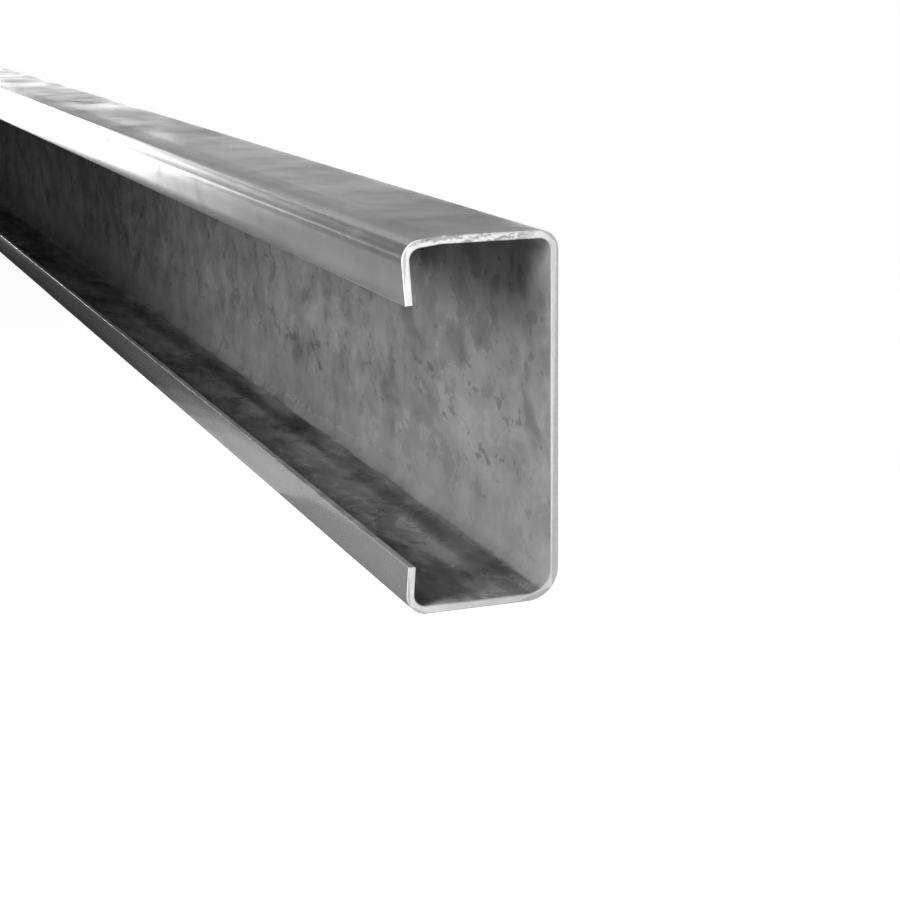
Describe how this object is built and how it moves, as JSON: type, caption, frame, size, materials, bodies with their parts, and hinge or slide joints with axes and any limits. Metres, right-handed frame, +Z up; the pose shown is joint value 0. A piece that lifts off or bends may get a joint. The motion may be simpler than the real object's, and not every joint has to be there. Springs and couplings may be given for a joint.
{
  "type": "c-channel",
  "caption": "Long cold-rolled lipped C channel of bare mill-finish steel: deep web, flanges turned to one side, and a lip along each flange; cut square at both ends.",
  "frame": {"origin": "on the floor plane that the lower flange rests on, at mid length and at the middle of the overall width", "axes": "+Y along the channel, away from the end nearest the viewer; +X out of the back of the web, so the open side with the two lips faces -X; +Z up from the lower flange to the upper flange"},
  "size_m": [0.065, 3, 0.15],
  "materials": {
    "mill_steel": "bare mill finish: dull grey rolled skin, mottled with darker patches and drawn streaks, bright on the cut ends"
  },
  "bodies": {
    "root": {"channel": "mill_steel"}
  },
  "joints": []
}
